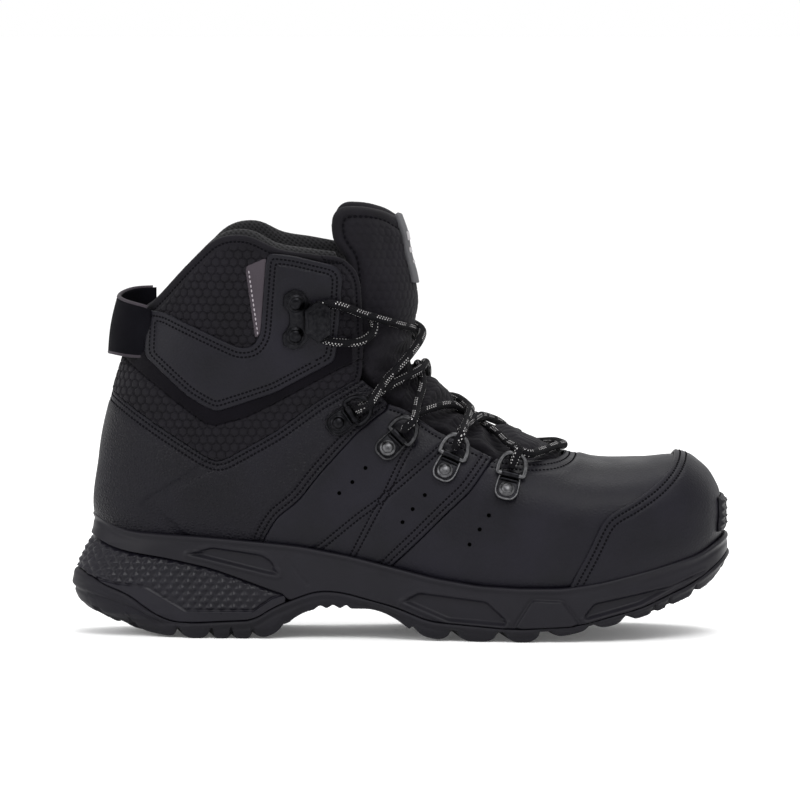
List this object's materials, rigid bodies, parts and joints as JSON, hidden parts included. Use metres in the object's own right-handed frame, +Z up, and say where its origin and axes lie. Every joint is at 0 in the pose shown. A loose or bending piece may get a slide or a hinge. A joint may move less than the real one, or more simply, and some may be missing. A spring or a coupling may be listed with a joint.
{
  "type": "steel toe work boot",
  "caption": "Mid-height black steel toe work boot with ring and hook lacing, padded tongue, heel pull loop and a cleated rubber sole.",
  "frame": {"origin": "on the ground, under the middle of the bounding box", "axes": "+X to the toe, +Y to the inner side of the foot, +Z up"},
  "size_m": [0.3079, 0.1018, 0.2025],
  "materials": {
    "leather_smooth": "satin, fine grain",
    "leather_embossed": "satin, pebbled",
    "textile": "matt, honeycomb relief",
    "accent_leather": "matt",
    "mesh_lining": "open mesh",
    "sole_rubber": "matt",
    "midsole_foam": "matt",
    "heel_cushion_rubber": "satin, faceted",
    "toe_cap_steel": "coated",
    "spring_steel": "plain",
    "board_fibre": "fibreboard",
    "inner_foam": "foam backed felt",
    "gunmetal": "dark plated",
    "black_metal": "black lacquer",
    "webbing": "woven, light edges",
    "label_cloth": "woven label",
    "lace_braid": "braided, light flecks"
  },
  "bodies": {
    "boot": {"outsole": "sole_rubber", "toe_bumper": "sole_rubber", "heel_cushion": "heel_cushion_rubber", "midsole": "midsole_foam", "shank": "spring_steel", "forefoot_filler": "inner_foam", "insole_board": "board_fibre", "steel_toe_cap": "toe_cap_steel", "heel_counter": "board_fibre", "interlining_lateral": "inner_foam", "interlining_medial": "inner_foam", "ankle_foam": "inner_foam", "lining": "mesh_lining", "footbed": "mesh_lining", "vamp": "leather_smooth", "side_panel_lateral": "leather_smooth", "side_panel_medial": "leather_smooth", "rear_quarter": "leather_embossed", "collar_textile": "textile", "toe_guard": "leather_smooth", "ankle_overlay_lateral": "leather_smooth", "ankle_overlay_medial": "leather_smooth", "accent_lateral": "accent_leather", "accent_medial": "accent_leather", "tongue_lower": "textile", "lace": "lace_braid", "hook_lateral": "black_metal", "hook_rivet_lateral_upper": "black_metal", "hook_rivet_lateral_lower": "black_metal", "ring_clip_lateral_1": "black_metal", "ring_rivet_lateral_1": "gunmetal", "ring_clip_lateral_2": "black_metal", "ring_rivet_lateral_2": "gunmetal", "ring_clip_lateral_3": "black_metal", "ring_rivet_lateral_3": "gunmetal", "ring_clip_lateral_4": "black_metal", "ring_rivet_lateral_4": "gunmetal", "hook_medial": "black_metal", "hook_rivet_medial_upper": "black_metal", "hook_rivet_medial_lower": "black_metal", "ring_clip_medial_1": "black_metal", "ring_rivet_medial_1": "gunmetal", "ring_clip_medial_2": "black_metal", "ring_rivet_medial_2": "gunmetal", "ring_clip_medial_3": "black_metal", "ring_rivet_medial_3": "gunmetal", "ring_clip_medial_4": "black_metal", "ring_rivet_medial_4": "gunmetal"},
    "tongue_top": {"tongue_flap": "textile", "tongue_label": "label_cloth"},
    "pull_loop": {"heel_loop": "webbing"},
    "ring_lateral_1": {"lace_ring_lateral_1": "gunmetal"},
    "ring_lateral_2": {"lace_ring_lateral_2": "gunmetal"},
    "ring_lateral_3": {"lace_ring_lateral_3": "gunmetal"},
    "ring_lateral_4": {"lace_ring_lateral_4": "gunmetal"},
    "ring_medial_1": {"lace_ring_medial_1": "gunmetal"},
    "ring_medial_2": {"lace_ring_medial_2": "gunmetal"},
    "ring_medial_3": {"lace_ring_medial_3": "gunmetal"},
    "ring_medial_4": {"lace_ring_medial_4": "gunmetal"}
  },
  "joints": [
    {"name": "tongue_flex", "type": "hinge", "parent": "boot", "child": "tongue_top", "pos_m": [0.007, 0, 0.16], "axis": [0, 1, 0], "range_deg": [-8, 35], "stiffness_Nm_per_rad": 0.08},
    {"name": "pull_loop_flex", "type": "hinge", "parent": "boot", "child": "pull_loop", "pos_m": [-0.1186, 0, 0.143], "axis": [0, 1, 0], "range_deg": [-14, 25], "stiffness_Nm_per_rad": 0.03},
    {"name": "ring_swing_lateral_1", "type": "hinge", "parent": "boot", "child": "ring_lateral_1", "pos_m": [-0.02223, -0.03638, 0.10555], "axis": [-0.5574, 0.0801, 0.8264], "range_deg": [-6, 6]},
    {"name": "ring_swing_lateral_2", "type": "hinge", "parent": "boot", "child": "ring_lateral_2", "pos_m": [-0.00024, -0.03748, 0.09528], "axis": [-0.7166, 0.1995, 0.6683], "range_deg": [-6, 6]},
    {"name": "ring_swing_lateral_3", "type": "hinge", "parent": "boot", "child": "ring_lateral_3", "pos_m": [0.02442, -0.04109, 0.08648], "axis": [-0.9058, 0.1779, 0.3845], "range_deg": [-6, 6]},
    {"name": "ring_swing_lateral_4", "type": "hinge", "parent": "boot", "child": "ring_lateral_4", "pos_m": [0.05162, -0.04438, 0.07818], "axis": [-0.9732, 0.0484, 0.2247], "range_deg": [-6, 6]},
    {"name": "ring_swing_medial_1", "type": "hinge", "parent": "boot", "child": "ring_medial_1", "pos_m": [-0.02223, 0.03639, 0.10555], "axis": [0.5574, 0.0801, -0.8264], "range_deg": [-6, 6]},
    {"name": "ring_swing_medial_2", "type": "hinge", "parent": "boot", "child": "ring_medial_2", "pos_m": [-0.00024, 0.03748, 0.09528], "axis": [0.7166, 0.1995, -0.6683], "range_deg": [-6, 6]},
    {"name": "ring_swing_medial_3", "type": "hinge", "parent": "boot", "child": "ring_medial_3", "pos_m": [0.02442, 0.0411, 0.08648], "axis": [0.9058, 0.1779, -0.3845], "range_deg": [-6, 6]},
    {"name": "ring_swing_medial_4", "type": "hinge", "parent": "boot", "child": "ring_medial_4", "pos_m": [0.05162, 0.04439, 0.07818], "axis": [0.9732, 0.0484, -0.2247], "range_deg": [-6, 6]}
  ]
}
